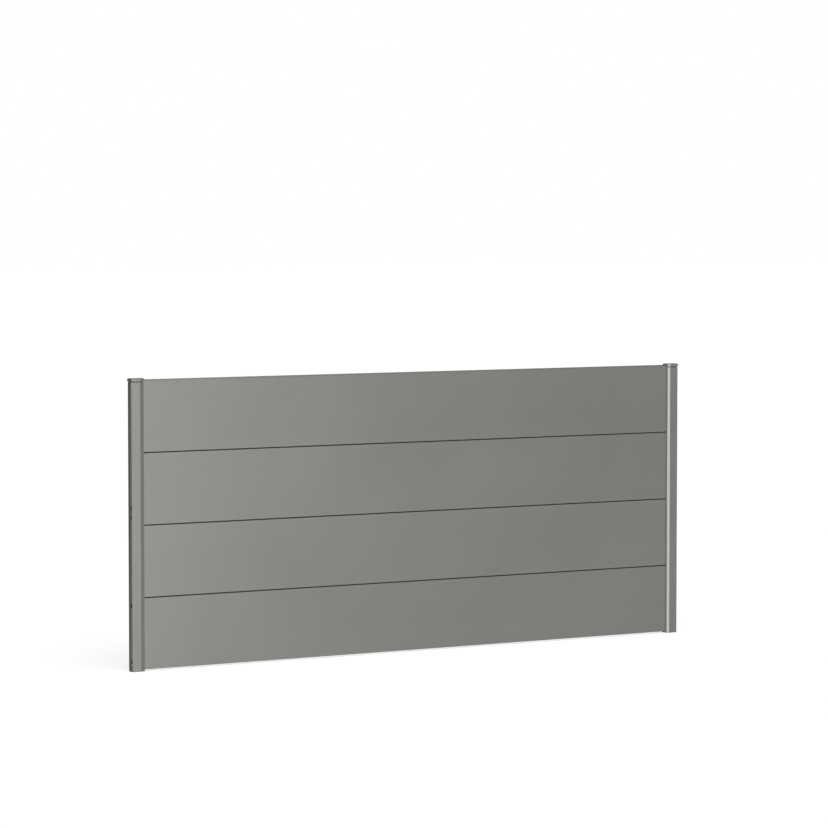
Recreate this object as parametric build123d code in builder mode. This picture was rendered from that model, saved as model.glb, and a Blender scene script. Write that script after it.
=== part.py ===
from build123d import *
import math
import os

# Privacy screen panel: hollow boards stacked between two slotted end posts.
# Millimetres. X runs along the panel, the front faces -Y and Z is up.
# The origin lies on the ground, in the middle of the panel.

# Panel
panel_length = 2000.0
board_count = 4
board_height = 219.0
board_thickness = 17.0
seam_gap = 3.0

# Board section: two skins, level webs and a groove along each edge
board_skin = 1.4
board_web = 1.3
board_web_count = 4
board_edge_radius = 0.8
groove_width = 8.4
groove_depth = 10.0

# Loose tongues between the boards, and the strip that closes the top groove
strip_clearance = 0.2
strip_wall = 1.2
top_strip_thickness = 2.5
top_strip_leg_depth = 8.0

# Post section, from the outer channel to the pocket that holds the boards
post_width = 43.0
post_depth = 25.0
post_wall = 1.8
post_corner_radius = 0.5
channel_depth = 4.0
channel_flange = 1.4
lip_width = 13.6
lip_taper = 8.5
lip_bevel = 4.4
lip_edge = 0.6
lip_edge_radius = 0.5
lip_land = 2.0
board_insertion = 15.0
board_end_gap = 2.0
pocket_clearance = 0.25
shoulder_length = 4.0

# Screw channels in the post's chamber
screw_channel_radius = 3.0
screw_channel_bore = 1.85
screw_channel_mouth = 1.4
screw_channel_root = 0.3

# Fixing slots in the channel's web, in two pairs: height of each pair's lower slot and its spacing
slot_length = 13.0
slot_width = 8.5
lower_pair_height = 30.0
lower_pair_spacing = 172.0
upper_pair_height = 471.5
upper_pair_spacing = 28.5

# Foot
foot_height = 12.0
foot_floor = 5.5
foot_shelf = 8.5
foot_hollow_width = 8.0
foot_edge_chamfer = 0.4
chamfer_share = 0.8
foot_leg_length = 12.0

# Cap: its skirt ends above the post, and a set-back neck leaves a shadow gap between them
cap_thickness = 4.0
cap_skirt = 5.2
cap_gap = 2.4
cap_overhang = 1.7
cap_edge_chamfer = 1.2
cap_leg_length = 24.0
cap_neck_inset = 1.2
cap_neck_wall = 1.6

# Legs that press into the chamber from the cap and the foot
leg_thickness = 2.4
leg_clearance = 0.15
leg_tip_chamfer = 0.8

# Board screws, through the rear lips
board_screw_setback = 8.6
board_screw_radius = 2.1
board_screw_length = 9.5
board_screw_head_radius = 4.0
board_screw_head_height = 2.1
board_screw_crown_radius = 2.0
board_screw_shoulder_radius = 3.4
board_screw_shoulder_height = 1.5
board_screw_rim_height = 0.6

# Foot screws, countersunk from below
foot_screw_radius = 1.8
foot_screw_length = 26.0
foot_screw_head_radius = 3.8
foot_screw_sink = 0.3
countersink_angle = 90.0

# All screws
screw_clearance = 0.1
screw_point_length = 1.6
recess_length = 3.6
recess_width = 0.9
recess_depth = 1.2

# Heights of the stack
board_pitch = board_height + seam_gap
board_bottom = foot_floor
stack_height = board_count * board_pitch - seam_gap
stack_top = board_bottom + stack_height + top_strip_thickness
skirt_bottom = stack_top - cap_skirt
post_bottom = foot_height
post_top = skirt_bottom - cap_gap

# Depths and widths inside the post, measured from its outer face
half_depth = post_depth / 2
half_board = board_thickness / 2
channel_web_back = channel_depth + post_wall
pocket_floor = post_width - board_insertion - board_end_gap
chamber_end = pocket_floor - post_wall
chamber_half = half_depth - post_wall
pocket_half = half_board + pocket_clearance
lip_start = post_width - lip_width
lip_slope = math.tan(math.radians(lip_taper))
bevel_start = post_width - lip_bevel
bevel_start_half = half_depth - (bevel_start - lip_start) * lip_slope
lip_tip_half = pocket_half + lip_edge
board_screw_inset = post_width - board_screw_setback

# Lengths of the boards and strips
board_length = panel_length - 2 * (post_width - board_insertion)

# Inner faces of the legs that stand in the chamber
leg_reach = channel_web_back + leg_clearance + leg_thickness
leg_return = chamber_end - leg_clearance - leg_thickness

# The cap's neck keeps inside the outline as far as the start of the lips' bevels
neck_half = bevel_start_half - cap_neck_inset

# Screw channels stand on the chamber's front and rear walls
screw_channel_u = (channel_web_back + chamber_end) / 2
screw_channel_v = chamber_half - screw_channel_radius + screw_channel_root

# Edges of the foot's underside, no wider than the outline's smallest rounding allows
foot_chamfer = min(foot_edge_chamfer, chamfer_share * min(post_corner_radius, lip_edge_radius, lip_edge))

# Centre of the cell that each board screw enters
web_pitch = (board_height - 2 * (groove_depth + board_web)) / (board_web_count + 1)
screw_cell = board_web_count // 2 + 0.5
screw_rise = groove_depth + board_web + screw_cell * web_pitch

SIDES = {"left": -1, "right": 1}


def end_plane(side, height):
    """Level plane at one post: local X runs from its outer face towards the boards."""
    return Plane(origin=(side * panel_length / 2, 0, height), x_dir=(-side, 0, 0), z_dir=(0, 0, 1))


def section_plane(height):
    """Upright plane across the boards at their left ends, centred on the given height."""
    return Plane(origin=(-board_length / 2, 0, height), x_dir=(0, 1, 0), z_dir=(1, 0, 0))


def board_centre(number):
    """Height of the middle of a board, counted from the lowest."""
    return board_bottom + board_height / 2 + number * board_pitch


def board_screw_plane(side, number):
    """Plane on the rear lip's sloping face, its normal pointing out of the post."""
    taper = math.radians(lip_taper)
    across = half_depth - (board_screw_inset - lip_start) * lip_slope
    height = board_bottom + number * board_pitch + screw_rise
    return Plane(
        origin=(side * (panel_length / 2 - board_screw_inset), across, height),
        x_dir=(0, 0, 1),
        z_dir=(-side * math.sin(taper), math.cos(taper), 0),
    )


def draw_outline(sketch):
    """The post's outer outline, closed across its channel and its pocket."""
    with BuildLine() as line:
        Polyline(
            (0, -half_depth),
            (lip_start, -half_depth),
            (bevel_start, -bevel_start_half),
            (post_width, -lip_tip_half),
            (post_width, lip_tip_half),
            (bevel_start, bevel_start_half),
            (lip_start, half_depth),
            (0, half_depth),
            close=True,
        )
    make_face(line.edges())
    fillet(sketch.vertices().group_by(Axis.X)[-1], min(lip_edge_radius, lip_edge))
    fillet(sketch.vertices().group_by(Axis.X)[0], post_corner_radius)


def draw_pocket():
    """The pocket behind the lips: shoulders guide the board's end, lands grip its faces."""
    upper = [
        (pocket_floor, pocket_half),
        (pocket_floor + shoulder_length, pocket_half),
        (pocket_floor + shoulder_length, chamber_half),
        (post_width - lip_land, pocket_half),
        (post_width, pocket_half),
    ]
    lower = [(u, -v) for u, v in reversed(upper)]
    with BuildLine() as line:
        Polyline(*upper, *lower, close=True)
    make_face(line.edges(), mode=Mode.SUBTRACT)


def draw_box(near, far, half_width, mode=Mode.ADD):
    """A rectangle from one depth to another, centred across the post."""
    with Locations(((near + far) / 2, 0)):
        Rectangle(far - near, 2 * half_width, mode=mode)


def draw_screw_channels():
    """Two C-shaped channels along the chamber, open towards each other."""
    for v_sign in (-1, 1):
        centre = (screw_channel_u, v_sign * screw_channel_v)
        with Locations(centre):
            Circle(screw_channel_radius)
            Circle(screw_channel_bore, mode=Mode.SUBTRACT)
        with Locations((screw_channel_u, v_sign * (screw_channel_v - screw_channel_radius / 2))):
            Rectangle(screw_channel_mouth, screw_channel_radius, mode=Mode.SUBTRACT)


def add_legs(plane, length):
    """Two legs that fill the chamber's width beside its outer and inner webs."""
    with BuildSketch(plane) as legs:
        draw_box(channel_web_back + leg_clearance, leg_reach, chamber_half - leg_clearance)
        draw_box(leg_return, chamber_end - leg_clearance, chamber_half - leg_clearance)
    extrude(legs.sketch, amount=length)


def add_screw(plane, profile):
    """One screw: its profile, in radius and height over the plane, turned about the normal."""
    with BuildSketch(Plane(origin=plane.origin, x_dir=plane.x_dir, z_dir=-plane.y_dir)) as half:
        with BuildLine():
            Polyline(*profile, close=True)
        make_face()
    revolve(half.sketch, axis=Axis(plane.origin, plane.z_dir))


def cut_recess(plane):
    """Cross recess sunk into a screw's head."""
    with BuildSketch(plane) as cross:
        Rectangle(recess_length, recess_width)
        Rectangle(recess_width, recess_length)
    extrude(cross.sketch, amount=-recess_depth, mode=Mode.SUBTRACT)


def save(piece, name):
    """Label a finished piece and write its STEP file."""
    piece.part.label = name
    export_step(piece.part, f"parts/{name}.step")
    print(f"{name}: {len(piece.part.solids())} solid(s), {piece.part.volume / 1000:.1f} cm3")


os.makedirs("parts", exist_ok=True)

# Boards: hollow planks with a groove along each edge and a hole at each end for its screw
for number in range(board_count):
    with BuildPart() as board:
        with BuildSketch(section_plane(board_centre(number))) as section:
            Rectangle(board_thickness, board_height)
            fillet(section.vertices(), board_edge_radius)
            Rectangle(board_thickness - 2 * board_skin, board_height - 2 * board_skin, mode=Mode.SUBTRACT)
            groove_box = groove_depth + board_web
            with GridLocations(board_thickness, board_height - groove_box, 1, 2):
                Rectangle(groove_width + 2 * board_web, groove_box)
            with GridLocations(board_thickness, web_pitch, 1, board_web_count):
                Rectangle(board_thickness - board_skin, board_web)
            with GridLocations(board_thickness, board_height - groove_depth, 1, 2):
                Rectangle(groove_width, groove_depth, mode=Mode.SUBTRACT)
        extrude(amount=board_length)
        for side in SIDES.values():
            with BuildSketch(board_screw_plane(side, number)):
                Circle(board_screw_radius + screw_clearance)
            extrude(amount=-(board_screw_length + screw_clearance), mode=Mode.SUBTRACT)
    save(board, f"board_{number + 1}")

# Joint strips: hollow tongues that stand in one board's groove and carry the next board
strip_thickness = groove_width - 2 * strip_clearance
strip_height = 2 * groove_depth + seam_gap
for number in range(board_count - 1):
    seam_centre = board_centre(number) + board_pitch / 2
    with BuildPart() as joint_strip:
        with BuildSketch(section_plane(seam_centre)):
            Rectangle(strip_thickness, strip_height)
            Rectangle(strip_thickness - 2 * strip_wall, strip_height - 2 * strip_wall, mode=Mode.SUBTRACT)
        extrude(amount=board_length)
    save(joint_strip, f"joint_strip_{number + 1}")

# Top strip: a flat cover with two legs in the top board's groove
with BuildPart() as top_strip:
    with BuildSketch(section_plane(stack_top - top_strip_thickness)) as section:
        with Locations((0, top_strip_thickness / 2)):
            Rectangle(board_thickness, top_strip_thickness)
        fillet(section.vertices().group_by(Axis.Y)[-1], board_edge_radius)
        with Locations((0, -top_strip_leg_depth / 2)):
            Rectangle(strip_thickness, top_strip_leg_depth)
            Rectangle(strip_thickness - 2 * strip_wall, top_strip_leg_depth, mode=Mode.SUBTRACT)
    extrude(amount=board_length)
save(top_strip, "top_strip")

for side_name, side in SIDES.items():

    # Post: one extrusion with the channel, the chamber, its screw channels and the pocket
    with BuildPart() as post:
        with BuildSketch(end_plane(side, post_bottom)) as section:
            draw_outline(section)
            draw_box(0, channel_depth, half_depth - channel_flange, mode=Mode.SUBTRACT)
            draw_box(channel_web_back, chamber_end, chamber_half, mode=Mode.SUBTRACT)
            draw_pocket()
            draw_screw_channels()
        extrude(amount=post_top - post_bottom)

        # Fixing slots through the channel's web, into the chamber
        web_face = side * (panel_length / 2 - channel_depth)
        with BuildSketch(Plane(origin=(web_face, 0, 0), x_dir=(0, side, 0), z_dir=(side, 0, 0))):
            for pair_height, spacing in (
                (lower_pair_height, lower_pair_spacing),
                (upper_pair_height, upper_pair_spacing),
            ):
                with Locations((0, pair_height), (0, pair_height + spacing)):
                    SlotOverall(slot_length, slot_width, rotation=90)
        extrude(amount=-post_wall, mode=Mode.SUBTRACT)

        # Screw holes through the rear lip
        for number in range(board_count):
            with BuildSketch(board_screw_plane(side, number)):
                Circle(board_screw_radius + screw_clearance)
            extrude(amount=-board_screw_length, mode=Mode.SUBTRACT)
    save(post, f"{side_name}_post")

    # Foot: the post's outline, a shelf under the board's end, legs and countersunk holes
    with BuildPart() as foot:
        with BuildSketch(end_plane(side, 0)) as section:
            draw_outline(section)
        extrude(amount=foot_height)
        chamfer(foot.edges().group_by(Axis.Z)[0], foot_chamfer)
        with BuildSketch(end_plane(side, foot_floor)):
            draw_box(pocket_floor, post_width, pocket_half)
        extrude(amount=foot_height - foot_floor, mode=Mode.SUBTRACT)
        with BuildSketch(end_plane(side, 0)):
            draw_box(pocket_floor + foot_shelf, post_width, pocket_half)
        extrude(amount=foot_floor, mode=Mode.SUBTRACT)
        with BuildSketch(end_plane(side, foot_floor)):
            draw_box(channel_web_back, chamber_end, foot_hollow_width / 2)
        extrude(amount=foot_height - foot_floor, mode=Mode.SUBTRACT)
        add_legs(end_plane(side, foot_height), foot_leg_length)
        chamfer(foot.edges().group_by(Axis.Z)[-1].filter_by(Axis.Y), leg_tip_chamfer)
        underside = Plane(origin=(side * panel_length / 2, 0, 0), x_dir=(-side, 0, 0), z_dir=(0, 0, -1))
        with Locations(underside):
            with Locations(*[(screw_channel_u, v_sign * screw_channel_v) for v_sign in (-1, 1)]):
                CounterSinkHole(
                    radius=foot_screw_radius + screw_clearance,
                    counter_sink_radius=foot_screw_head_radius + foot_screw_sink,
                    depth=foot_height,
                    counter_sink_angle=countersink_angle,
                )
    save(foot, f"{side_name}_foot")

    # Cap: a head with a neck that stands on the post, open where the boards enter, and two legs
    with BuildPart() as cap:
        with BuildSketch(end_plane(side, skirt_bottom)) as section:
            draw_outline(section)
            offset(amount=cap_overhang, kind=Kind.ARC, mode=Mode.REPLACE)
        extrude(amount=cap_skirt + cap_thickness)
        chamfer(cap.edges().group_by(Axis.Z)[-1], cap_edge_chamfer)
        with BuildSketch(end_plane(side, post_top)):
            draw_box(cap_neck_inset, bevel_start, neck_half)
        extrude(amount=cap_gap)
        with BuildSketch(end_plane(side, post_top)):
            draw_box(pocket_floor, post_width + cap_overhang, pocket_half)
            draw_box(leg_reach, leg_return, neck_half - cap_neck_wall)
        extrude(amount=stack_top - post_top, mode=Mode.SUBTRACT)
        add_legs(end_plane(side, stack_top - cap_leg_length), cap_leg_length)
        chamfer(cap.edges().group_by(Axis.Z)[0].filter_by(Axis.Y), leg_tip_chamfer)
    save(cap, f"{side_name}_cap")

    # Board screws: one pan head screw through the rear lip into each board's end
    board_screw_profile = [
        (0, board_screw_head_height),
        (board_screw_crown_radius, board_screw_head_height),
        (board_screw_shoulder_radius, board_screw_shoulder_height),
        (board_screw_head_radius, board_screw_rim_height),
        (board_screw_head_radius, 0),
        (board_screw_radius, 0),
        (board_screw_radius, screw_point_length - board_screw_length),
        (0, -board_screw_length),
    ]
    with BuildPart() as board_screws:
        for number in range(board_count):
            seat = board_screw_plane(side, number)
            add_screw(seat, board_screw_profile)
            cut_recess(seat.offset(board_screw_head_height))
    save(board_screws, f"{side_name}_board_screws")

    # Foot screws: countersunk, up through the foot into the post's screw channels
    head_cone = math.tan(math.radians(countersink_angle / 2))
    head_depth = (foot_screw_head_radius - foot_screw_radius) / head_cone
    foot_screw_profile = [
        (0, 0),
        (foot_screw_head_radius, 0),
        (foot_screw_radius, -head_depth),
        (foot_screw_radius, screw_point_length - foot_screw_length),
        (0, -foot_screw_length),
    ]
    with BuildPart() as foot_screws:
        for v_sign in (-1, 1):
            head_x = side * (panel_length / 2 - screw_channel_u)
            head_y = v_sign * screw_channel_v
            head = Plane(origin=(head_x, head_y, foot_screw_sink), x_dir=(1, 0, 0), z_dir=(0, 0, -1))
            add_screw(head, foot_screw_profile)
            cut_recess(head)
    save(foot_screws, f"{side_name}_foot_screws")
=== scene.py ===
"""Looks of a privacy screen panel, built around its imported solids.

Four hollow boards stand one on another between two slotted end posts, each with a cap and a
foot. All sizes are in metres, in the frame of the solids: X runs along the panel, the front
faces -Y, and Z is up from the ground.
"""

import logging
import math
from dataclasses import dataclass, field
from enum import Enum
from typing import Any

import bpy
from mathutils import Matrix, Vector

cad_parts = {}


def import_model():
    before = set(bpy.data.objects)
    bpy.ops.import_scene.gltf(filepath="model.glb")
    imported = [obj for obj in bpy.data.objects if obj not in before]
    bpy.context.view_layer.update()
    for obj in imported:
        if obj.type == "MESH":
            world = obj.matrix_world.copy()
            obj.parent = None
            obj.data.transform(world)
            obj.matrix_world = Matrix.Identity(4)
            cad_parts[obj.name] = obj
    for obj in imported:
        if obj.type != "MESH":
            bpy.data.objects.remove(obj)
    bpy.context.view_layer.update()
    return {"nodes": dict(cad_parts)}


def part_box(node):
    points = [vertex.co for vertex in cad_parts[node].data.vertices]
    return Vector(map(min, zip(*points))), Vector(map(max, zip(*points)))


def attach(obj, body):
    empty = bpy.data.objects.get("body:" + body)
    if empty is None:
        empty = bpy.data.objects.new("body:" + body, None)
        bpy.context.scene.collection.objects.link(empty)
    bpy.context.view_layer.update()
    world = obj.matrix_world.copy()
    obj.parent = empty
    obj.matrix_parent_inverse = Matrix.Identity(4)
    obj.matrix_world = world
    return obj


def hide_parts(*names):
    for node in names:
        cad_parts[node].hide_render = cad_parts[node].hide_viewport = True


LOG = logging.getLogger("screen_panel")

Colour = tuple[float, float, float]
Node = bpy.types.Node
Tree = bpy.types.NodeTree
Socket = bpy.types.NodeSocket
Material = bpy.types.Material

# Values between which a noise texture mostly stays
NOISE_LOW = 0.3
NOISE_HIGH = 0.7

# Inputs of the screws' tree that are sizes, each with its field in ScrewSize
SCREW_LENGTHS = (
    "Head radius",
    "Head height",
    "Head cone",
    "Crown rounding",
    "Shank radius",
    "Length",
    "Point length",
    "Thread pitch",
    "Thread depth",
)


class Grain(Enum):
    """Way in which the lines of drawing run, as the noise's scale along X, Y and Z."""

    ALONG_X = (0.6, 90.0, 90.0)
    ALONG_Z = (260.0, 260.0, 0.6)
    NONE = (0.0, 0.0, 0.0)


class Side(Enum):
    """The two ends of the panel, and the way along X that each faces."""

    LEFT = -1
    RIGHT = 1

    @property
    def label(self) -> str:
        """Prefix of the nodes at this end."""
        return self.name.lower()


@dataclass
class Wiring:
    """Adds nodes to one tree and joins their sockets.

    Args:
        tree: The shader or geometry tree that is being built.
    """

    tree: Tree

    def link(self, source: Socket, target: Socket) -> None:
        """Join two sockets."""
        self.tree.links.new(source, target)

    def add(
        self, kind: str, inputs: dict[Any, Any] | None = None, **settings: Any
    ) -> Node:
        """Add one node.

        Args:
            kind: Blender's name for the node type.
            inputs: Values or source sockets for its inputs, by name or number.
            **settings: Attributes to set on the node first.

        Returns:
            The new node.
        """
        node = self.tree.nodes.new(kind)
        for name, value in settings.items():
            setattr(node, name, value)
        for name, value in (inputs or {}).items():
            if isinstance(value, Socket):
                self.link(value, node.inputs[name])
            else:
                node.inputs[name].default_value = value
        return node

    def math(self, operation: str, first: Any, second: Any = 0.0) -> Socket:
        """Add one Math node for two values or sockets, and give the socket of its result."""
        node = self.add("ShaderNodeMath", {0: first, 1: second}, operation=operation)
        return node.outputs[0]

    def equals(self, first: Any, number: int) -> Socket:
        """Compare a whole value with a number.

        Args:
            first: Socket of the value.
            number: The number.

        Returns:
            A socket that is 1 where they are equal, and else 0.
        """
        node = self.add(
            "ShaderNodeMath", {0: first, 1: float(number), 2: 0.5}, operation="COMPARE"
        )
        return node.outputs[0]

    def rescale(
        self, value: Socket, low: float, high: float, start: float = 0.0, end: float = 1.0
    ) -> Socket:
        """Map a value from one range onto another.

        Args:
            value: Socket that gives the value.
            low: Result at the start of the range.
            high: Result at its end.
            start: Start of the range of the value.
            end: End of that range.

        Returns:
            The mapped value's socket.
        """
        node = self.add(
            "ShaderNodeMapRange",
            {"Value": value, "From Min": start, "From Max": end, "To Min": low, "To Max": high},
        )
        return node.outputs[0]

    def vary(self, noise: Socket, middle: float, spread: float) -> Socket:
        """Map a noise onto values that leave a middle by up to the spread."""
        return self.rescale(noise, middle - spread, middle + spread, NOISE_LOW, NOISE_HIGH)


def new_group(
    name: str, inputs: dict[str, tuple[str, Any]], outputs: dict[str, str]
) -> tuple[Wiring, Node, Node]:
    """Start a shader node group with named sockets.

    Args:
        name: Name of the group.
        inputs: Socket type and default value of each input, by name.
        outputs: Socket type of each output, by name.

    Returns:
        The group's wiring, its input node and its output node.
    """
    tree = bpy.data.node_groups.new(name, "ShaderNodeTree")
    for label, (kind, default) in inputs.items():
        socket = tree.interface.new_socket(label, in_out="INPUT", socket_type=kind)
        if default is not None:
            socket.default_value = default
    for label, kind in outputs.items():
        tree.interface.new_socket(label, in_out="OUTPUT", socket_type=kind)
    wiring = Wiring(tree)
    return wiring, wiring.add("NodeGroupInput"), wiring.add("NodeGroupOutput")


@dataclass
class SurfaceEffects:
    """Shader effects that more than one finish uses, each built once as a node group."""

    flakes: Tree = field(init=False)
    drawing: Tree = field(init=False)
    clouds: Tree = field(init=False)
    zone: Tree = field(init=False)

    def __post_init__(self) -> None:
        """Build the groups."""
        self.flakes = self._build_flakes()
        self.drawing = self._build_drawing()
        self.clouds = self._build_clouds()
        self.zone = self._build_zone()

    def _build_flakes(self) -> Tree:
        """Metal flakes in the paint: each cell has its own brightness.

        Returns:
            The group, which gives a value from 0 to 1.
        """
        wiring, source, result = new_group(
            "metal_flakes",
            {"Place": ("NodeSocketVector", None), "Cells per metre": ("NodeSocketFloat", 2200.0)},
            {"Flake": "NodeSocketFloat"},
        )
        cells = wiring.add(
            "ShaderNodeTexVoronoi",
            {"Vector": source.outputs["Place"], "Scale": source.outputs["Cells per metre"]},
            voronoi_dimensions="3D",
            feature="F1",
        )
        grey = wiring.add("ShaderNodeSeparateColor", {"Color": cells.outputs["Color"]})
        wiring.link(grey.outputs[0], result.inputs["Flake"])
        return wiring.tree

    def _build_drawing(self) -> Tree:
        """Faint lines that the die leaves along an extruded piece.

        Returns:
            The group, which gives a value round 0.5.
        """
        wiring, source, result = new_group(
            "drawing_lines",
            {"Place": ("NodeSocketVector", None), "Stretch": ("NodeSocketVector", None)},
            {"Line": "NodeSocketFloat"},
        )
        stretched = wiring.add(
            "ShaderNodeVectorMath",
            {0: source.outputs["Place"], 1: source.outputs["Stretch"]},
            operation="MULTIPLY",
        )
        lines = wiring.add(
            "ShaderNodeTexNoise",
            {"Vector": stretched.outputs[0], "Scale": 1.0, "Detail": 3.0, "Roughness": 0.55},
        )
        wiring.link(lines.outputs[0], result.inputs["Line"])
        return wiring.tree

    def _build_clouds(self) -> Tree:
        """Slow, faint clouds in the depth of the coat, as the spray gun leaves them.

        Returns:
            The group, which gives a value round 0.5.
        """
        wiring, source, result = new_group(
            "coat_clouds",
            {"Place": ("NodeSocketVector", None), "Clouds per metre": ("NodeSocketFloat", 2.2)},
            {"Cloud": "NodeSocketFloat"},
        )
        clouds = wiring.add(
            "ShaderNodeTexNoise",
            {
                "Vector": source.outputs["Place"],
                "Scale": source.outputs["Clouds per metre"],
                "Detail": 2.0,
                "Roughness": 0.5,
            },
        )
        wiring.link(clouds.outputs[0], result.inputs["Cloud"])
        return wiring.tree

    def _build_zone(self) -> Tree:
        """Mask of a box, and of its mirror images to both sides of the panel's middle.

        Returns:
            The group, which gives 1 inside and 0 outside.
        """
        wiring, source, result = new_group(
            "mirrored_zone",
            {
                "Place": ("NodeSocketVector", None),
                "Middle": ("NodeSocketVector", None),
                "Reach": ("NodeSocketVector", None),
            },
            {"Inside": "NodeSocketFloat"},
        )
        kind = "ShaderNodeVectorMath"
        folded = wiring.add(kind, {0: source.outputs["Place"]}, operation="ABSOLUTE")
        away = wiring.add(
            kind, {0: folded.outputs[0], 1: source.outputs["Middle"]}, operation="SUBTRACT"
        )
        distance = wiring.add(kind, {0: away.outputs[0]}, operation="ABSOLUTE")
        spare = wiring.add(
            kind, {0: source.outputs["Reach"], 1: distance.outputs[0]}, operation="SUBTRACT"
        )
        room = wiring.add("ShaderNodeSeparateXYZ", {0: spare.outputs[0]}).outputs
        least = wiring.math("MINIMUM", wiring.math("MINIMUM", room["X"], room["Y"]), room["Z"])
        wiring.link(wiring.math("GREATER_THAN", least, 0.0), result.inputs["Inside"])
        return wiring.tree


@dataclass(frozen=True)
class PaintedShadingZone:
    """Zone of a painted piece whose own colour is painted light and shade, on both ends of the
    panel.

    Args:
        middle: Middle of the zone's box, at the right end.
        reach: How far the box goes from its middle along X, Y and Z.
        colour: Colour that stands in for the light or the shade in the zone.
        metallic: Whether it is metal.
        roughness: Its roughness.
    """

    middle: Vector
    reach: Vector
    colour: Colour
    metallic: float
    roughness: float


@dataclass(frozen=True)
class PaintFinish:
    """Warm grey metallic paint over aluminium.

    Args:
        name: Name of the material.
        colour: Mean colour of the paint.
        grain: Way in which the lines of drawing run under the coat.
        metallic: Share of the light that the flakes reflect.
        roughness: Mean roughness of the coat.
        roughness_spread: How far the roughness leaves its mean.
        flake_contrast: How far a flake's brightness leaves the mean.
        cloud_contrast: How far the clouds' brightness leaves it.
        grain_contrast: How far the drawing lines' brightness leaves it.
        peel_scale: Bumps of orange peel in a metre.
        peel_strength: Strength of the bumps.
        peel_height: Height of the bumps.
        painted_shading_zone: Zone whose colour is painted light and shade, if the piece has one.
    """

    name: str
    colour: Colour = (0.186, 0.183, 0.1715)
    grain: Grain = Grain.NONE
    metallic: float = 0.85
    roughness: float = 0.248
    roughness_spread: float = 0.012
    flake_contrast: float = 0.1
    cloud_contrast: float = 0.025
    grain_contrast: float = 0.015
    peel_scale: float = 420.0
    peel_strength: float = 0.35
    peel_height: float = 0.00002
    painted_shading_zone: PaintedShadingZone | None = None

    def build(self, effects: SurfaceEffects) -> Material:
        """Build the material.

        Args:
            effects: The shared shader effects.

        Returns:
            The material.
        """
        material = bpy.data.materials.new(self.name)
        material.use_nodes = True
        wiring = Wiring(material.node_tree)
        shader = material.node_tree.nodes["Principled BSDF"]
        place = wiring.add("ShaderNodeTexCoord").outputs["Object"]
        flake = wiring.add("ShaderNodeGroup", {}, node_tree=effects.flakes)
        cloud = wiring.add("ShaderNodeGroup", {}, node_tree=effects.clouds)
        for group in (flake, cloud):
            wiring.link(place, group.inputs["Place"])

        tint = wiring.rescale(flake.outputs[0], 1 - self.flake_contrast, 1 + self.flake_contrast)
        depth = wiring.vary(cloud.outputs[0], 1.0, self.cloud_contrast)
        bright = wiring.math("MULTIPLY", tint, depth)
        if self.grain is not Grain.NONE:
            lines = wiring.add(
                "ShaderNodeGroup", {"Stretch": self.grain.value}, node_tree=effects.drawing
            )
            wiring.link(place, lines.inputs["Place"])
            drawn = wiring.vary(lines.outputs[0], 1.0, self.grain_contrast)
            bright = wiring.math("MULTIPLY", bright, drawn)
        paint = wiring.add(
            "ShaderNodeVectorMath", {0: self.colour, "Scale": bright}, operation="SCALE"
        )
        colour = paint.outputs[0]
        coat = wiring.vary(cloud.outputs[0], self.roughness, self.roughness_spread)
        shader.inputs["Metallic"].default_value = self.metallic
        # Painted light and shade: within the zone its own colour, roughness and metal replace the
        # paint's
        if self.painted_shading_zone:
            zone = wiring.add(
                "ShaderNodeGroup",
                {"Middle": self.painted_shading_zone.middle, "Reach": self.painted_shading_zone.reach},
                node_tree=effects.zone,
            )
            wiring.link(place, zone.inputs["Place"])
            inside = zone.outputs[0]
            colour = wiring.add(
                "ShaderNodeMix", {0: inside, 4: colour, 5: self.painted_shading_zone.colour}, data_type="VECTOR"
            ).outputs[1]
            coat = wiring.add(
                "ShaderNodeMix", {0: inside, 2: coat, 3: self.painted_shading_zone.roughness}
            ).outputs[0]
            metal = wiring.rescale(inside, self.metallic, self.painted_shading_zone.metallic)
            wiring.link(metal, shader.inputs["Metallic"])
        wiring.link(colour, shader.inputs["Base Color"])
        wiring.link(coat, shader.inputs["Roughness"])
        peel = wiring.add(
            "ShaderNodeTexNoise",
            {"Vector": place, "Scale": self.peel_scale, "Detail": 1.0, "Roughness": 0.4},
        )
        bump = wiring.add(
            "ShaderNodeBump",
            {
                "Height": peel.outputs[0],
                "Strength": self.peel_strength,
                "Distance": self.peel_height,
            },
        )
        wiring.link(bump.outputs[0], shader.inputs["Normal"])
        return material


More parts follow.
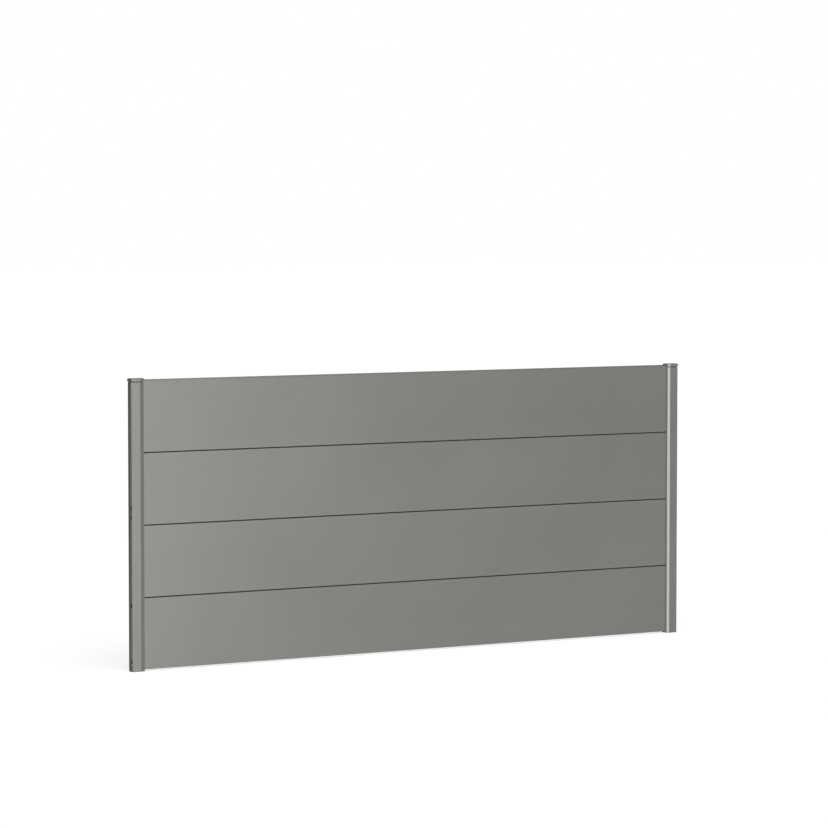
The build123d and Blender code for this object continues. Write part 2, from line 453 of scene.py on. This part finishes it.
@dataclass(frozen=True)
class MetalFinish:
    """Bare metal, with fine lines along the piece.

    Args:
        name: Name of the material.
        colour: Mean colour of the metal.
        roughness: Mean roughness of the surface.
        grain: Way in which the fine lines run.
        roughness_spread: How far the roughness leaves its mean.
        line_contrast: How far a line's brightness leaves the mean.
        line_strength: Strength of the lines' relief.
        line_height: Height of that relief.
        cloud_contrast: How far the clouds' brightness leaves the mean.
        cloud_scale: Clouds in a metre.
    """

    name: str
    colour: Colour
    roughness: float
    grain: Grain = Grain.ALONG_X
    roughness_spread: float = 0.06
    line_contrast: float = 0.15
    line_strength: float = 0.4
    line_height: float = 0.00004
    cloud_contrast: float = 0.06
    cloud_scale: float = 9.0

    def build(self, effects: SurfaceEffects) -> Material:
        """Build the material.

        Args:
            effects: The shared shader effects.

        Returns:
            The material.
        """
        material = bpy.data.materials.new(self.name)
        material.use_nodes = True
        wiring = Wiring(material.node_tree)
        shader = material.node_tree.nodes["Principled BSDF"]
        place = wiring.add("ShaderNodeTexCoord").outputs["Object"]
        lines = wiring.add(
            "ShaderNodeGroup", {"Stretch": self.grain.value}, node_tree=effects.drawing
        )
        cloud = wiring.add(
            "ShaderNodeGroup", {"Clouds per metre": self.cloud_scale}, node_tree=effects.clouds
        )
        for group in (lines, cloud):
            wiring.link(place, group.inputs["Place"])
        bright = wiring.math(
            "MULTIPLY",
            wiring.vary(lines.outputs[0], 1.0, self.line_contrast),
            wiring.vary(cloud.outputs[0], 1.0, self.cloud_contrast),
        )
        metal = wiring.add(
            "ShaderNodeVectorMath", {0: self.colour, "Scale": bright}, operation="SCALE"
        )
        rough = wiring.vary(lines.outputs[0], self.roughness, self.roughness_spread)
        bump = wiring.add(
            "ShaderNodeBump",
            {
                "Height": lines.outputs[0],
                "Strength": self.line_strength,
                "Distance": self.line_height,
            },
        )
        wiring.link(metal.outputs[0], shader.inputs["Base Color"])
        wiring.link(rough, shader.inputs["Roughness"])
        wiring.link(bump.outputs[0], shader.inputs["Normal"])
        shader.inputs["Metallic"].default_value = 1.0
        return material


@dataclass
class Finishes:
    """Every finish of the panel.

    Args:
        effects: The shared shader effects.
        panel_end: Distance from the middle to the posts' outer faces.
        cap_top: Height of the caps' tops over the ground.
        cap_head: Height of a cap's paint-coated head; below it the neck and legs are near black,
            as painted shade in the gap under the head.
    """

    effects: SurfaceEffects
    panel_end: float
    cap_top: float
    cap_head: float = 0.00919
    board_paint: Material = field(init=False)
    post_paint_channel_light: Material = field(init=False)
    cap_paint_gap_shade: Material = field(init=False)
    foot_paint: Material = field(init=False)
    strip_metal: Material = field(init=False)
    screw_steel: Material = field(init=False)

    def __post_init__(self) -> None:
        """Build the materials."""
        self.board_paint = PaintFinish("board_paint", grain=Grain.ALONG_X).build(self.effects)
        # The posts' channels get a lighter bare-metal colour: painted light in the recess
        post = PaintFinish("post_paint_channel_light", grain=Grain.ALONG_Z, painted_shading_zone=self._channel_painted_light())
        self.post_paint_channel_light = post.build(self.effects)
        # The caps are near black below their heads: painted shade in the gap under the head
        self.cap_paint_gap_shade = PaintFinish("cap_paint_gap_shade", painted_shading_zone=self._gap_painted_shade()).build(self.effects)
        self.foot_paint = PaintFinish("foot_paint").build(self.effects)
        # The joint strips are near-black metal: painted shade deep in the seams between the
        # boards
        strip = MetalFinish("dark_strip_seam_shade", colour=(0.03, 0.03, 0.029), roughness=0.5)
        self.strip_metal = strip.build(self.effects)
        screw = MetalFinish("screw_steel", colour=(0.62, 0.61, 0.58), roughness=0.28)
        self.screw_steel = screw.build(self.effects)

    def _channel_painted_light(self) -> PaintedShadingZone:
        """Painted light in a post's outer channel, from its flanges' edges to its web: a
        bare-metal colour lighter than the paint brightens the shaded recess.

        Returns:
            The zone.
        """
        start, end, half_width, half_height = 0.0001, 0.0045, 0.0112, 0.5
        # Lighter than the paint: painted light in the channel
        return PaintedShadingZone(
            middle=Vector((self.panel_end - (start + end) / 2, 0.0, half_height)),
            reach=Vector(((end - start) / 2, half_width, half_height)),
            colour=(0.38, 0.378, 0.365),
            metallic=1.0,
            roughness=0.45,
        )

    def _gap_painted_shade(self) -> PaintedShadingZone:
        """Painted shade below a cap's head: near black, where the gap under the head lies in
        shade.

        Returns:
            The zone.
        """
        reach_aside = 0.1
        half_height = (self.cap_top - self.cap_head) / 2
        return PaintedShadingZone(
            middle=Vector((self.panel_end, 0.0, half_height)),
            reach=Vector((reach_aside, reach_aside, half_height)),
            # Near black: painted shade in the gap
            colour=(0.012, 0.012, 0.012),
            metallic=0.0,
            roughness=0.6,
        )


def dress(node: bpy.types.Object, material: Material) -> None:
    """Give every slot of a solid one material.

    Args:
        node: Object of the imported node.
        material: Its finish.
    """
    if not node.material_slots:
        node.data.materials.append(material)
    for slot in node.material_slots:
        slot.material = material


class Head(Enum):
    """Form of a screw's head, which is a part of its piece's name."""

    PAN = "pan_head"
    COUNTERSUNK = "countersunk"


@dataclass(frozen=True)
class ScrewSize:
    """Sizes of one kind of screw. Heights are measured from its seat, out of the panel.

    Args:
        head: Form of the head.
        head_radius: Radius of the head.
        head_height: Height of the head over the seat.
        head_cone: Depth of the head's cone under the seat.
        crown_rounding: Rounding of the head's upper edge.
        shank_radius: Radius over the thread's crests.
        length: Length from the seat to the point.
        point_length: Length of the tapering point.
        thread_pitch: Rise of the thread in one turn.
        thread_depth: Depth of the thread.
    """

    head: Head
    head_radius: float
    head_height: float
    head_cone: float
    crown_rounding: float
    shank_radius: float
    length: float
    point_length: float = 0.0016
    thread_pitch: float = 0.0014
    thread_depth: float = 0.00035

    def tree_inputs(self) -> dict[str, float]:
        """Sizes by the names of the tree's inputs."""
        return {name: getattr(self, name.lower().replace(" ", "_")) for name in SCREW_LENGTHS}


@dataclass(frozen=True)
class ScrewRow:
    """Where one row of equal screws sits.

    Args:
        first: Seat of the first screw.
        step: Way from one seat to the next.
        count: How many screws the row has.
        facing: Direction in which the heads look.
        seed: Seed of the angles to which the screws were turned home.
    """

    first: Vector
    step: Vector
    count: int
    facing: Vector
    seed: int


@dataclass
class ScrewMaker:
    """Turns rows of screws from one geometry tree.

    Args:
        sides: How many faces go round a screw.
        thread_rows: How many rings the threaded length has.
        crown_facets: How many points round off the head's upper edge.
        recess_length: Length of the cross recess.
        recess_width: Width of its arms.
        recess_depth: Its depth.
        recess_floor: Share of its size that the recess keeps at its floor.
        crease: Angle from which an edge of the screw is sharp, in degrees.
    """

    sides: int = 32
    thread_rows: int = 96
    crown_facets: int = 6
    recess_length: float = 0.0036
    recess_width: float = 0.0009
    recess_depth: float = 0.0012
    recess_floor: float = 0.6
    crease: float = 32.0
    tree: Tree = field(init=False)

    def __post_init__(self) -> None:
        """Build the tree."""
        self.tree = self._build_tree()

    def _declare(self, tree: Tree) -> None:
        """Give the tree its named inputs and its output.

        Args:
            tree: The new geometry tree.
        """
        for name in SCREW_LENGTHS:
            tree.interface.new_socket(name, in_out="INPUT", socket_type="NodeSocketFloat")
        for name in ("First seat", "Step", "Facing"):
            tree.interface.new_socket(name, in_out="INPUT", socket_type="NodeSocketVector")
        for name in ("Count", "Seed"):
            tree.interface.new_socket(name, in_out="INPUT", socket_type="NodeSocketInt")
        tree.interface.new_socket("Finish", in_out="INPUT", socket_type="NodeSocketMaterial")
        tree.interface.new_socket("Geometry", in_out="OUTPUT", socket_type="NodeSocketGeometry")

    def _half_profile(self, wiring: Wiring, sizes: Any) -> Socket:
        """Draw half of the screw's section as a curve of radius (X) and height (Z).

        Args:
            wiring: Wiring of the tree.
            sizes: The tree's input sockets.

        Returns:
            The curve's socket.
        """
        radius, shank = sizes["Head radius"], sizes["Shank radius"]
        point = wiring.math("MULTIPLY", sizes["Length"], -1.0)
        stations = [
            (0.0, sizes["Head height"]),
            (radius, sizes["Head height"]),
            (radius, 0.0),
            (shank, wiring.math("MULTIPLY", sizes["Head cone"], -1.0)),
            (shank, wiring.math("ADD", point, sizes["Point length"])),
            (0.0, point),
        ]
        crown, thread_start = 1, 3
        index = wiring.add("GeometryNodeInputIndex").outputs[0]
        chooser = wiring.add("GeometryNodeIndexSwitch", data_type="VECTOR")
        while len(chooser.index_switch_items) < len(stations):
            chooser.index_switch_items.new()
        wiring.link(index, chooser.inputs[0])
        for number, (across, up) in enumerate(stations):
            corner = wiring.add("ShaderNodeCombineXYZ", {"X": across, "Z": up})
            wiring.link(corner.outputs[0], chooser.inputs[number + 1])

        line = wiring.add("GeometryNodeMeshLine", {"Count": len(stations)})
        curve = wiring.add("GeometryNodeMeshToCurve", {"Mesh": line.outputs[0]})
        drawn = wiring.add(
            "GeometryNodeSetPosition",
            {"Geometry": curve.outputs[0], "Position": chooser.outputs[0]},
        )
        rings = wiring.math("MULTIPLY", wiring.equals(index, thread_start), self.thread_rows)
        divided = wiring.add(
            "GeometryNodeSubdivideCurve", {"Curve": drawn.outputs[0], "Cuts": rings}
        )
        rounding = wiring.math("MULTIPLY", wiring.equals(index, crown), sizes["Crown rounding"])
        rounded = wiring.add(
            "GeometryNodeFilletCurve",
            {
                "Curve": divided.outputs[0],
                "Count": self.crown_facets,
                "Radius": rounding,
                "Limit Radius": True,
            },
            mode="POLY",
        )
        return rounded.outputs[0]

    def _turn(self, wiring: Wiring, profile: Socket, sizes: Any) -> Socket:
        """Turn the half section about Z, and cut the thread into the shank.

        Args:
            wiring: Wiring of the tree.
            profile: The half section.
            sizes: The tree's input sockets.

        Returns:
            The closed mesh's socket.
        """
        columns = self.sides + 1
        stations = wiring.add(
            "GeometryNodeAttributeDomainSize", {"Geometry": profile}, component="CURVE"
        )
        grid = wiring.add(
            "GeometryNodeMeshGrid",
            {"Vertices X": stations.outputs["Point Count"], "Vertices Y": columns},
        )
        index = wiring.add("GeometryNodeInputIndex").outputs[0]
        # Half a step keeps the division clear of whole numbers
        shifted = wiring.math("ADD", index, 0.5)
        station = wiring.math("FLOOR", wiring.math("DIVIDE", shifted, columns))
        column = wiring.math("SUBTRACT", index, wiring.math("MULTIPLY", station, columns))
        turn = wiring.math("DIVIDE", column, self.sides)
        sample = wiring.add(
            "GeometryNodeSampleIndex", {"Geometry": profile}, data_type="FLOAT_VECTOR"
        )
        position = wiring.add("GeometryNodeInputPosition")
        wiring.link(position.outputs[0], sample.inputs["Value"])
        wiring.link(station, sample.inputs["Index"])
        place = wiring.add("ShaderNodeSeparateXYZ", {0: sample.outputs["Value"]}).outputs

        rise = wiring.math("DIVIDE", place["Z"], sizes["Thread pitch"])
        winding = wiring.math("FRACT", wiring.math("ADD", rise, turn))
        groove = wiring.math("PINGPONG", wiring.math("MULTIPLY", winding, 2.0), 1.0)
        plain_length = wiring.math("ADD", sizes["Head cone"], sizes["Thread pitch"])
        thread_top = wiring.math("MULTIPLY", plain_length, -1.0)
        on_shank = wiring.math("LESS_THAN", place["Z"], thread_top)
        cut = wiring.math("MULTIPLY", groove, on_shank)
        depth = wiring.math("MULTIPLY", sizes["Thread depth"], cut)
        across = wiring.math("MAXIMUM", wiring.math("SUBTRACT", place["X"], depth), 0.0)

        angle = wiring.math("MULTIPLY", turn, math.tau)
        turned = wiring.add(
            "ShaderNodeCombineXYZ",
            {
                "X": wiring.math("MULTIPLY", across, wiring.math("COSINE", angle)),
                "Y": wiring.math("MULTIPLY", across, wiring.math("SINE", angle)),
                "Z": place["Z"],
            },
        )
        shaped = wiring.add(
            "GeometryNodeSetPosition",
            {"Geometry": grid.outputs[0], "Position": turned.outputs[0]},
        )
        merge_distance = 1e-6
        closed = wiring.add(
            "GeometryNodeMergeByDistance",
            {"Geometry": shaped.outputs[0], "Distance": merge_distance},
        )
        return closed.outputs[0]

    def _cut_recess(self, wiring: Wiring, screw: Socket, sizes: Any) -> Socket:
        """Sink a tapering cross into the head.

        Args:
            wiring: Wiring of the tree.
            screw: The turned screw.
            sizes: The tree's input sockets.

        Returns:
            The cut mesh's socket.
        """
        cut_above = 0.0005
        height = self.recess_depth + cut_above
        place = wiring.add("GeometryNodeInputPosition").outputs[0]
        parts = wiring.add("ShaderNodeSeparateXYZ", {0: place}).outputs
        narrowing = wiring.rescale(parts["Z"], self.recess_floor, 1.0, -height / 2, height / 2)
        squeezed = wiring.add(
            "ShaderNodeCombineXYZ",
            {
                "X": wiring.math("MULTIPLY", parts["X"], narrowing),
                "Y": wiring.math("MULTIPLY", parts["Y"], narrowing),
                "Z": parts["Z"],
            },
        )
        lift = wiring.math("ADD", sizes["Head height"], cut_above - height / 2)
        seat = wiring.add("ShaderNodeCombineXYZ", {"Z": lift})
        result = wiring.add(
            "GeometryNodeMeshBoolean", {"Mesh 1": screw}, operation="DIFFERENCE", solver="EXACT"
        )
        long, narrow = self.recess_length, self.recess_width
        for arm in ((long, narrow, height), (narrow, long, height)):
            bar = wiring.add("GeometryNodeMeshCube", {"Size": arm})
            tapered = wiring.add(
                "GeometryNodeSetPosition",
                {"Geometry": bar.outputs[0], "Position": squeezed.outputs[0]},
            )
            placed = wiring.add(
                "GeometryNodeTransform",
                {"Geometry": tapered.outputs[0], "Translation": seat.outputs[0]},
            )
            wiring.link(placed.outputs[0], result.inputs["Mesh 2"])
        return result.outputs[0]

    def _place_row(self, wiring: Wiring, screw: Socket, sizes: Any) -> Socket:
        """Set the screw on each seat of the row, turned by a chance angle.

        Args:
            wiring: Wiring of the tree.
            screw: The finished screw.
            sizes: The tree's input sockets.

        Returns:
            The socket of the row's instances.
        """
        seats = wiring.add(
            "GeometryNodeMeshLine",
            {
                "Count": sizes["Count"],
                "Start Location": sizes["First seat"],
                "Offset": sizes["Step"],
            },
        )
        upright = wiring.add(
            "FunctionNodeAlignRotationToVector", {"Vector": sizes["Facing"]}, axis="Z"
        )
        chance = wiring.add(
            "FunctionNodeRandomValue", {2: 0.0, 3: math.tau, 8: sizes["Seed"]}, data_type="FLOAT"
        )
        roll = wiring.add(
            "FunctionNodeAxisAngleToRotation",
            {"Axis": (0.0, 0.0, 1.0), "Angle": chance.outputs[1]},
        )
        turned = wiring.add(
            "FunctionNodeRotateRotation",
            {"Rotation": upright.outputs[0], "Rotate By": roll.outputs[0]},
            rotation_space="LOCAL",
        )
        row = wiring.add(
            "GeometryNodeInstanceOnPoints",
            {"Points": seats.outputs[0], "Instance": screw, "Rotation": turned.outputs[0]},
        )
        return row.outputs[0]

    def _build_tree(self) -> Tree:
        """Build the geometry tree of a row of screws.

        Returns:
            The tree.
        """
        tree = bpy.data.node_groups.new("screw_row", "GeometryNodeTree")
        self._declare(tree)
        wiring = Wiring(tree)
        sizes = wiring.add("NodeGroupInput").outputs
        screw = self._turn(wiring, self._half_profile(wiring, sizes), sizes)
        screw = self._cut_recess(wiring, screw, sizes)
        bend = wiring.add("GeometryNodeInputMeshEdgeAngle").outputs["Unsigned Angle"]
        sharp = wiring.math("GREATER_THAN", bend, math.radians(self.crease))
        smooth = wiring.add(
            "GeometryNodeSetShadeSmooth",
            {"Geometry": screw, "Shade Smooth": True},
            domain="FACE",
        )
        creased = wiring.add(
            "GeometryNodeSetShadeSmooth",
            {"Geometry": smooth.outputs[0], "Selection": sharp, "Shade Smooth": False},
            domain="EDGE",
        )
        row = self._place_row(wiring, creased.outputs[0], sizes)
        real = wiring.add("GeometryNodeRealizeInstances", {"Geometry": row})
        finished = wiring.add(
            "GeometryNodeSetMaterial", {"Geometry": real.outputs[0], "Material": sizes["Finish"]}
        )
        result = wiring.add("NodeGroupOutput")
        wiring.link(finished.outputs[0], result.inputs[0])
        return tree

    def build(
        self, name: str, size: ScrewSize, row: ScrewRow, finish: Material
    ) -> bpy.types.Object:
        """Make one row of screws as a plain mesh.

        Args:
            name: Name of the piece.
            size: Sizes of its screws.
            row: Where they sit.
            finish: Their material.

        Returns:
            The piece.
        """
        piece = bpy.data.objects.new(name, bpy.data.meshes.new(name))
        bpy.context.collection.objects.link(piece)
        modifier = piece.modifiers.new("row", "NODES")
        modifier.node_group = self.tree
        values = size.tree_inputs() | {
            "First seat": list(row.first),
            "Step": list(row.step),
            "Facing": list(row.facing),
            "Count": row.count,
            "Seed": row.seed,
            "Finish": finish,
        }
        for socket in self.tree.interface.items_tree:
            if socket.in_out == "INPUT":
                modifier[socket.identifier] = values[socket.name]
        depsgraph = bpy.context.evaluated_depsgraph_get()
        mesh = bpy.data.meshes.new_from_object(piece.evaluated_get(depsgraph))
        mesh.name = name
        piece.modifiers.clear()
        piece.data = mesh
        return piece


@dataclass
class Boards:
    """The four boards, the strips between them and the strip that closes the top.

    Args:
        count: How many boards are stacked.
    """

    count: int = 4

    def dress(self, nodes: dict[str, bpy.types.Object], finishes: Finishes) -> list[str]:
        """Give the boards and strips their finishes.

        Args:
            nodes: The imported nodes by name.
            finishes: The panel's finishes.

        Returns:
            Names of the dressed nodes.
        """
        boards = [f"board_{number}" for number in range(1, self.count + 1)] + ["top_strip"]
        strips = [f"joint_strip_{number}" for number in range(1, self.count)]
        for name in boards:
            dress(nodes[name], finishes.board_paint)
        # The strips' near-black finish is painted shade in the seams
        for name in strips:
            dress(nodes[name], finishes.strip_metal)
        return boards + strips


@dataclass
class EndPost:
    """One end post with its cap, its foot and its screws.

    Args:
        side: End of the panel at which it stands.
        board_count: How many boards its lips hold, with one screw each.
        lip_taper: Angle of the lips' outer faces to the post's faces, in degrees.
        lip_start: Distance from the post's outer face to the lips' root.
        screw_inset: Distance from the post's outer face to the board screws.
        board_screw: Sizes of the screws through the rear lip.
        foot_screw: Sizes of the screws through the foot.
        board_screw_seed: Seed of the board screws' angles, before the side's own number.
        foot_screw_seed: Seed of the foot screws' angles, likewise.
    """

    side: Side
    board_count: int
    lip_taper: float = 8.5
    lip_start: float = 0.0294
    screw_inset: float = 0.0344
    board_screw: ScrewSize = ScrewSize(
        Head.PAN,
        head_radius=0.004,
        head_height=0.002,
        head_cone=0.0,
        crown_rounding=0.0014,
        shank_radius=0.0021,
        length=0.0095,
    )
    foot_screw: ScrewSize = ScrewSize(
        Head.COUNTERSUNK,
        head_radius=0.0036,
        head_height=0.0002,
        head_cone=0.0018,
        crown_rounding=0.0001,
        shank_radius=0.0018,
        length=0.0258,
    )
    board_screw_seed: int = 11
    foot_screw_seed: int = 21

    def dress(self, nodes: dict[str, bpy.types.Object], finishes: Finishes) -> list[str]:
        """Give the post and its fittings their finishes.

        Args:
            nodes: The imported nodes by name.
            finishes: The panel's finishes.

        Returns:
            Names of the dressed nodes.
        """
        wanted = {
            # Post paint with painted light in its channel
            "post": finishes.post_paint_channel_light,
            # Cap paint with painted shade under its head
            "cap": finishes.cap_paint_gap_shade,
            "foot": finishes.foot_paint,
            "board_screws": finishes.screw_steel,
            "foot_screws": finishes.screw_steel,
        }
        for piece, material in wanted.items():
            dress(nodes[f"{self.side.label}_{piece}"], material)
        return [f"{self.side.label}_{piece}" for piece in wanted]

    def _board_screw_row(self, node: str) -> ScrewRow:
        """Work out where the screws sit on the rear lip's sloping face.

        Args:
            node: Name of the screws' node.

        Returns:
            Their row, from the lowest up.
        """
        post_low, post_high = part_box(f"{self.side.label}_post")
        low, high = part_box(node)
        outer_face = post_low[0] if self.side is Side.LEFT else post_high[0]
        taper = math.radians(self.lip_taper)
        lowest = low[2] + self.board_screw.head_radius
        highest = high[2] - self.board_screw.head_radius
        first = Vector((
            outer_face - self.side.value * self.screw_inset,
            post_high[1] - (self.screw_inset - self.lip_start) * math.tan(taper),
            lowest,
        ))
        return ScrewRow(
            first=first,
            step=Vector((0.0, 0.0, (highest - lowest) / (self.board_count - 1))),
            count=self.board_count,
            facing=Vector((-self.side.value * math.sin(taper), math.cos(taper), 0.0)),
            seed=self.board_screw_seed + self.side.value,
        )

    def _foot_screw_row(self, node: str) -> ScrewRow:
        """Work out where the screws sit under the foot.

        Args:
            node: Name of the screws' node.

        Returns:
            Their row, from the front to the back.
        """
        low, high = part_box(node)
        middle = (Vector(low) + Vector(high)) / 2
        reach = (high[1] - low[1] - (high[0] - low[0])) / 2
        seat = low[2] + self.foot_screw.head_height
        return ScrewRow(
            first=Vector((middle.x, middle.y - reach, seat)),
            step=Vector((0.0, 2 * reach, 0.0)),
            count=2,
            facing=Vector((0.0, 0.0, -1.0)),
            seed=self.foot_screw_seed + self.side.value,
        )

    def add_screws(self, maker: ScrewMaker, finishes: Finishes) -> list[bpy.types.Object]:
        """Make the post's screws and let them stand for the plain ones.

        Args:
            maker: Maker of the screws.
            finishes: The panel's finishes.

        Returns:
            The two new pieces.
        """
        board_node = f"{self.side.label}_board_screws"
        foot_node = f"{self.side.label}_foot_screws"
        rows = (
            (board_node, self.board_screw, self._board_screw_row(board_node)),
            (foot_node, self.foot_screw, self._foot_screw_row(foot_node)),
        )
        pieces = []
        for node, size, row in rows:
            name = f"{self.side.label}_{size.head.value}_screws"
            piece = maker.build(name, size, row, finishes.screw_steel)
            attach(piece, "root")
            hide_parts(node)
            pieces.append(piece)
        return pieces


@dataclass(frozen=True)
class Lamp:
    """One far, soft lamp that fills a disc of the sky.

    Args:
        name: Name of the lamp.
        strength: Its strength.
        spread: Angle that the disc fills, in degrees.
        azimuth: Angle from -Y to its middle, towards +X, in degrees.
        elevation: Height of its middle over the horizon, in degrees.
    """

    name: str
    strength: float
    spread: float
    azimuth: float
    elevation: float

    def build(self) -> None:
        """Hang the lamp."""
        lamp = bpy.data.lights.new(self.name, "SUN")
        lamp.energy = self.strength
        lamp.angle = math.radians(self.spread)
        rig = bpy.data.objects.new(self.name, lamp)
        turn, rise = math.radians(self.azimuth), math.radians(self.elevation)
        across = math.cos(rise)
        towards = Vector((math.sin(turn) * across, -math.cos(turn) * across, math.sin(rise)))
        rig.rotation_mode = "QUATERNION"
        rig.rotation_quaternion = towards.to_track_quat("Z", "Y")
        bpy.context.collection.objects.link(rig)


@dataclass(frozen=True)
class Card:
    """A curved grey card round the panel that only its gloss sees.

    Args:
        name: Name of the card.
        start: Azimuth of its first edge from -Y, towards +X, in degrees.
        end: Azimuth of its last edge, in degrees.
        brightness: Its brightness in reflections.
        bottom: Height of its lower edge.
        top: Height of its upper edge.
        radius: Its distance from the panel's middle.
        facet: Angle that each of its flat facets fills, in degrees.
    """

    name: str
    start: float
    end: float
    brightness: float
    bottom: float = -1.0
    top: float = 3.0
    radius: float = 3.6
    facet: float = 6.0

    def build(self) -> None:
        """Set the card up."""
        steps = max(2, round(abs(self.end - self.start) / self.facet))
        ring = []
        for number in range(steps + 1):
            turn = math.radians(self.start + (self.end - self.start) * number / steps)
            ring.append((math.sin(turn) * self.radius, -math.cos(turn) * self.radius))
        points = [(x, y, z) for x, y in ring for z in (self.bottom, self.top)]
        faces = [(first, first + 2, first + 3, first + 1) for first in range(0, 2 * steps, 2)]
        mesh = bpy.data.meshes.new(self.name)
        mesh.from_pydata(points, [], faces)
        material = bpy.data.materials.new(self.name)
        material.use_nodes = True
        material.node_tree.nodes.clear()
        wiring = Wiring(material.node_tree)
        grey = wiring.add("ShaderNodeEmission", {"Strength": self.brightness})
        result = wiring.add("ShaderNodeOutputMaterial")
        wiring.link(grey.outputs[0], result.inputs["Surface"])
        mesh.materials.append(material)
        card = bpy.data.objects.new(self.name, mesh)
        for ray in ("camera", "diffuse", "transmission", "volume_scatter", "shadow"):
            setattr(card, f"visible_{ray}", False)
        bpy.context.collection.objects.link(card)


@dataclass
class Studio:
    """Pale floor, soft lamps, grey cards, plain surroundings and the camera.

    Args:
        floor_size: Side of the floor.
        floor_colour: Colour of the floor.
        floor_glow: Brightness that the floor adds for the camera.
        ambient: Brightness of the surroundings as they light the panel.
        lamps: The lamps.
        cards: The grey cards.
        camera_place: Place of the camera.
        camera_pitch: Angle by which the camera looks down, in degrees.
        camera_yaw: Angle by which it looks past +Y towards +X, in degrees.
        camera_lens: Focal length on a sensor 36 mm wide, in millimetres.
    """

    floor_size: float = 120.0
    floor_colour: Colour = (0.6, 0.6, 0.597)
    floor_glow: float = 0.72
    ambient: float = 0.2
    lamps: tuple[Lamp, ...] = (
        Lamp("front_lamp", strength=0.392, spread=23.0, azimuth=12.4, elevation=-2.1),
        Lamp("top_lamp", strength=1.1, spread=50.0, azimuth=-10.0, elevation=62.0),
    )
    cards: tuple[Card, ...] = (
        Card("nose_card", -8.0, -20.0, brightness=0.03),
        Card("front_card", -20.0, -60.0, brightness=0.45),
        Card("left_card", -60.0, -168.0, brightness=0.38),
        Card("right_card", 80.0, 118.0, brightness=0.55),
        Card("rear_card", -176.0, -232.0, brightness=0.12, bottom=0.55),
    )
    camera_place: Vector = field(default_factory=lambda: Vector((-5.540, -9.6265, 1.4326)))
    camera_pitch: float = 3.472
    camera_yaw: float = 29.909
    camera_lens: float = 152.0

    def _background_rays(self, wiring: Wiring) -> Socket:
        """Mask of the rays that see the white ground.

        Args:
            wiring: Wiring of the material or world.

        Returns:
            A socket that is 1 for camera, glossy and transmission rays, and else 0.
        """
        path = wiring.add("ShaderNodeLightPath").outputs
        seen = wiring.math("MAXIMUM", path["Is Camera Ray"], path["Is Glossy Ray"])
        return wiring.math("MAXIMUM", seen, path["Is Transmission Ray"])

    def build_floor(self) -> None:
        """Lay the floor, so that it hides no lamp or card that reaches below it."""
        half = self.floor_size / 2
        mesh = bpy.data.meshes.new("floor")
        outline = ((-half, -half), (half, -half), (half, half), (-half, half))
        mesh.from_pydata([(x, y, 0.0) for x, y in outline], [], [(0, 1, 2, 3)])
        material = bpy.data.materials.new("floor_paper")
        material.use_nodes = True
        wiring = Wiring(material.node_tree)
        shader = material.node_tree.nodes["Principled BSDF"]
        shader.inputs["Base Color"].default_value = (*self.floor_colour, 1.0)
        shader.inputs["Roughness"].default_value = 0.9
        shader.inputs["Specular IOR Level"].default_value = 0.0
        shader.inputs["Emission Color"].default_value = (1.0, 1.0, 1.0, 1.0)
        glow = wiring.math("MULTIPLY", self._background_rays(wiring), self.floor_glow)
        wiring.link(glow, shader.inputs["Emission Strength"])
        mesh.materials.append(material)
        floor = bpy.data.objects.new("floor", mesh)
        floor.visible_shadow = False
        floor.visible_glossy = False
        bpy.context.collection.objects.link(floor)

    def build_world(self) -> None:
        """Surround the panel with a white ground that lights it softly."""
        world = bpy.data.worlds.new("studio")
        world.use_nodes = True
        bpy.context.scene.world = world
        wiring = Wiring(world.node_tree)
        ground = world.node_tree.nodes["Background"]
        ground.inputs["Color"].default_value = (1.0, 1.0, 1.0, 1.0)
        level = wiring.rescale(self._background_rays(wiring), self.ambient, 1.0)
        wiring.link(level, ground.inputs["Strength"])

    def build_camera(self) -> None:
        """Place the camera at the photograph's viewpoint."""
        data = bpy.data.cameras.new("camera")
        data.lens = self.camera_lens
        data.sensor_width = 36.0
        data.clip_end = 300.0
        camera = bpy.data.objects.new("camera", data)
        camera.location = self.camera_place
        camera.rotation_euler = (
            math.radians(90.0 - self.camera_pitch),
            0.0,
            -math.radians(self.camera_yaw),
        )
        bpy.context.collection.objects.link(camera)
        bpy.context.scene.camera = camera

    def build(self) -> None:
        """Build the whole studio."""
        self.build_floor()
        self.build_world()
        for lamp in self.lamps:
            lamp.build()
        for card in self.cards:
            card.build()
        self.build_camera()
        bpy.context.scene.view_settings.view_transform = "Standard"


def main() -> None:
    """Build and dress the panel and its studio."""
    logging.basicConfig(level=logging.INFO, format="%(name)s: %(message)s")
    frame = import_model()
    nodes = frame["nodes"]
    post_high, cap_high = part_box("right_post")[1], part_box("right_cap")[1]
    finishes = Finishes(SurfaceEffects(), panel_end=post_high[0], cap_top=cap_high[2])
    maker = ScrewMaker()

    boards = Boards()
    for name in boards.dress(nodes, finishes):
        LOG.info("dressed %s", name)
    for side in Side:
        post = EndPost(side, boards.count)
        for name in post.dress(nodes, finishes):
            LOG.info("dressed %s", name)
        for piece in post.add_screws(maker, finishes):
            LOG.info("made %s with %d faces", piece.name, len(piece.data.polygons))
    Studio().build()


if __name__ == "__main__":
    main()
